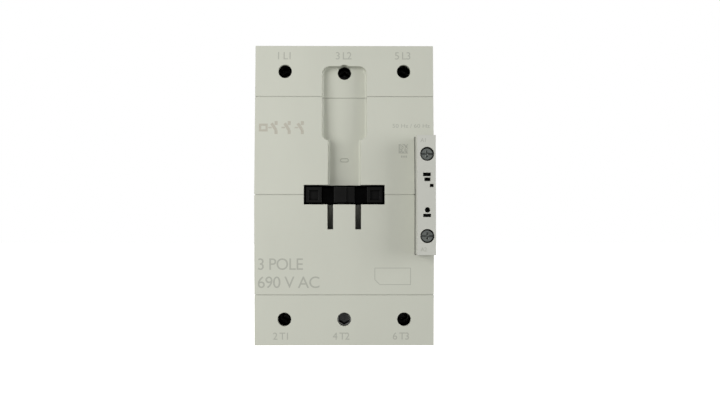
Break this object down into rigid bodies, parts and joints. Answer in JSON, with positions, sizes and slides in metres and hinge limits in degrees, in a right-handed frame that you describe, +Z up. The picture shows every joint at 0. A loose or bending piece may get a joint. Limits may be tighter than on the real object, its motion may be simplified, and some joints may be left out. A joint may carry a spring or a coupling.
{
  "type": "din rail contactor",
  "caption": "Pole contactor for rail or panel mounting: pale moulded housing, clamp terminals above and below, coil terminal block at the side and a sprung black contact carrier.",
  "frame": {"origin": "centre of the seat that rests on the front of a 35 mm rail", "axes": "+Z up, from the load terminals to the line terminals; +Y back into the panel, so the front looks along -Y; +X to the right as seen from the front"},
  "size_m": [0.09, 0.157, 0.17],
  "materials": {
    "base_plastic": "charcoal moulded thermoset with a fine grain",
    "housing_plastic": "pale grey moulded polyamide with a fine grain",
    "cover_plastic": "pale grey moulded polyamide with a fine satin grain",
    "carrier_plastic": "black glass-filled polyamide",
    "latch_plastic": "dark grey acetal",
    "bobbin_plastic": "black moulded polyamide",
    "coil_wire": "enamelled copper wire, wound in layers",
    "core_steel": "stacked electrical steel laminations",
    "chute_steel": "copper-flashed steel plates",
    "zinc_steel": "zinc-plated steel",
    "spring_steel": "drawn spring wire",
    "copper": "bare copper bar with silver contact tips",
    "tinned_brass": "tinned brass strip"
  },
  "bodies": {
    "housing": {"base_housing": "base_plastic", "contact_housing": "housing_plastic", "top_terminal_cover": "cover_plastic", "upper_front_cover": "cover_plastic", "lower_front_cover": "cover_plastic", "bottom_terminal_cover": "cover_plastic", "joining_screw_left": "zinc_steel", "joining_screw_right": "zinc_steel", "rail_latch_spring": "spring_steel", "magnet_yoke": "core_steel", "coil_bobbin": "bobbin_plastic", "coil_winding": "coil_wire", "return_spring_upper": "spring_steel", "return_spring_lower": "spring_steel", "line_contact_1": "copper", "line_arc_chute_1": "chute_steel", "line_clamp_cage_1": "zinc_steel", "line_contact_2": "copper", "line_arc_chute_2": "chute_steel", "line_clamp_cage_2": "zinc_steel", "line_contact_3": "copper", "line_arc_chute_3": "chute_steel", "line_clamp_cage_3": "zinc_steel", "load_contact_1": "copper", "load_arc_chute_1": "chute_steel", "load_clamp_cage_1": "zinc_steel", "load_contact_2": "copper", "load_arc_chute_2": "chute_steel", "load_clamp_cage_2": "zinc_steel", "load_contact_3": "copper", "load_arc_chute_3": "chute_steel", "load_clamp_cage_3": "zinc_steel", "coil_terminal_block": "cover_plastic", "coil_terminal_upper": "tinned_brass", "coil_terminal_lower": "tinned_brass"},
    "carrier": {"contact_carrier": "carrier_plastic", "armature": "core_steel", "contact_spring_1": "spring_steel", "contact_spring_2": "spring_steel", "contact_spring_3": "spring_steel"},
    "bridge_1": {"contact_bridge_1": "copper"},
    "bridge_2": {"contact_bridge_2": "copper"},
    "bridge_3": {"contact_bridge_3": "copper"},
    "latch": {"rail_latch": "latch_plastic"},
    "line_plate_1": {"line_clamp_plate_1": "zinc_steel"},
    "line_screw_1": {"line_clamp_screw_1": "zinc_steel"},
    "line_plate_2": {"line_clamp_plate_2": "zinc_steel"},
    "line_screw_2": {"line_clamp_screw_2": "zinc_steel"},
    "line_plate_3": {"line_clamp_plate_3": "zinc_steel"},
    "line_screw_3": {"line_clamp_screw_3": "zinc_steel"},
    "load_plate_1": {"load_clamp_plate_1": "zinc_steel"},
    "load_screw_1": {"load_clamp_screw_1": "zinc_steel"},
    "load_plate_2": {"load_clamp_plate_2": "zinc_steel"},
    "load_screw_2": {"load_clamp_screw_2": "zinc_steel"},
    "load_plate_3": {"load_clamp_plate_3": "zinc_steel"},
    "load_screw_3": {"load_clamp_screw_3": "zinc_steel"},
    "coil_washer_upper": {"coil_washer_upper": "zinc_steel"},
    "coil_screw_upper": {"coil_screw_upper": "zinc_steel"},
    "coil_washer_lower": {"coil_washer_lower": "zinc_steel"},
    "coil_screw_lower": {"coil_screw_lower": "zinc_steel"}
  },
  "joints": [
    {"name": "carrier_travel", "type": "slide", "parent": "housing", "child": "carrier", "axis": [0, 1, 0], "range_m": [0, 0.008], "stiffness_N_per_m": 1500, "springref_m": -0.005, "deforming": ["return_spring_upper", "return_spring_lower", "contact_spring_1", "contact_spring_2", "contact_spring_3"]},
    {"name": "bridge_1_travel", "type": "slide", "parent": "housing", "child": "bridge_1", "axis": [0, 1, 0], "range_m": [0, 0.0057]},
    {"name": "bridge_2_travel", "type": "slide", "parent": "housing", "child": "bridge_2", "axis": [0, 1, 0], "range_m": [0, 0.0057]},
    {"name": "bridge_3_travel", "type": "slide", "parent": "housing", "child": "bridge_3", "axis": [0, 1, 0], "range_m": [0, 0.0057]},
    {"name": "latch_pull", "type": "slide", "parent": "housing", "child": "latch", "axis": [0, 0, -1], "range_m": [0, 0.005], "stiffness_N_per_m": 800, "springref_m": -0.005, "deforming": ["rail_latch_spring"]},
    {"name": "line_plate_1_lift", "type": "slide", "parent": "housing", "child": "line_plate_1", "axis": [0, 1, 0], "range_m": [-0.01401, 0]},
    {"name": "line_screw_1_turn", "type": "hinge", "parent": "line_plate_1", "child": "line_screw_1", "pos_m": [-0.03, -0.12, 0.0625], "axis": [0, 1, 0], "range_deg": [-3360, 0]},
    {"name": "line_plate_2_lift", "type": "slide", "parent": "housing", "child": "line_plate_2", "axis": [0, 1, 0], "range_m": [-0.01051, 0]},
    {"name": "line_screw_2_turn", "type": "hinge", "parent": "line_plate_2", "child": "line_screw_2", "pos_m": [0, -0.12, 0.0625], "axis": [0, 1, 0], "range_deg": [-2520, 0]},
    {"name": "line_plate_3_lift", "type": "slide", "parent": "housing", "child": "line_plate_3", "axis": [0, 1, 0], "range_m": [-0.01401, 0]},
    {"name": "line_screw_3_turn", "type": "hinge", "parent": "line_plate_3", "child": "line_screw_3", "pos_m": [0.03, -0.12, 0.0625], "axis": [0, 1, 0], "range_deg": [-3360, 0]},
    {"name": "load_plate_1_lift", "type": "slide", "parent": "housing", "child": "load_plate_1", "axis": [0, 1, 0], "range_m": [-0.01401, 0]},
    {"name": "load_screw_1_turn", "type": "hinge", "parent": "load_plate_1", "child": "load_screw_1", "pos_m": [-0.03, -0.12, -0.0625], "axis": [0, 1, 0], "range_deg": [-3360, 0]},
    {"name": "load_plate_2_lift", "type": "slide", "parent": "housing", "child": "load_plate_2", "axis": [0, 1, 0], "range_m": [0, 0.01401]},
    {"name": "load_screw_2_turn", "type": "hinge", "parent": "load_plate_2", "child": "load_screw_2", "pos_m": [0, -0.12, -0.0625], "axis": [0, 1, 0], "range_deg": [0, 3360]},
    {"name": "load_plate_3_lift", "type": "slide", "parent": "housing", "child": "load_plate_3", "axis": [0, 1, 0], "range_m": [-0.01401, 0]},
    {"name": "load_screw_3_turn", "type": "hinge", "parent": "load_plate_3", "child": "load_screw_3", "pos_m": [0.03, -0.12, -0.0625], "axis": [0, 1, 0], "range_deg": [-3360, 0]},
    {"name": "coil_washer_upper_lift", "type": "slide", "parent": "housing", "child": "coil_washer_upper", "axis": [0, 1, 0], "range_m": [0, 0.00281]},
    {"name": "coil_screw_upper_turn", "type": "hinge", "parent": "coil_washer_upper", "child": "coil_screw_upper", "pos_m": [0.0406, -0.145, 0.01955], "axis": [0, 1, 0], "range_deg": [0, 1680]},
    {"name": "coil_washer_lower_lift", "type": "slide", "parent": "housing", "child": "coil_washer_lower", "axis": [0, 1, 0], "range_m": [0, 0.00281]},
    {"name": "coil_screw_lower_turn", "type": "hinge", "parent": "coil_washer_lower", "child": "coil_screw_lower", "pos_m": [0.0406, -0.145, -0.02055], "axis": [0, 1, 0], "range_deg": [0, 1680]}
  ],
  "couplings": [
    {"joint": "bridge_1_travel", "follows": "carrier_travel", "ratio": 0.7125},
    {"joint": "bridge_2_travel", "follows": "carrier_travel", "ratio": 0.7125},
    {"joint": "bridge_3_travel", "follows": "carrier_travel", "ratio": 0.7125},
    {"joint": "line_plate_1_lift", "follows": "line_screw_1_turn", "m_per_rad": 0.00023873},
    {"joint": "line_plate_2_lift", "follows": "line_screw_2_turn", "m_per_rad": 0.00023873},
    {"joint": "line_plate_3_lift", "follows": "line_screw_3_turn", "m_per_rad": 0.00023873},
    {"joint": "load_plate_1_lift", "follows": "load_screw_1_turn", "m_per_rad": 0.00023873},
    {"joint": "load_plate_2_lift", "follows": "load_screw_2_turn", "m_per_rad": 0.00023873},
    {"joint": "load_plate_3_lift", "follows": "load_screw_3_turn", "m_per_rad": 0.00023873},
    {"joint": "coil_washer_upper_lift", "follows": "coil_screw_upper_turn", "m_per_rad": 0.000095493},
    {"joint": "coil_washer_lower_lift", "follows": "coil_screw_lower_turn", "m_per_rad": 0.000095493}
  ]
}
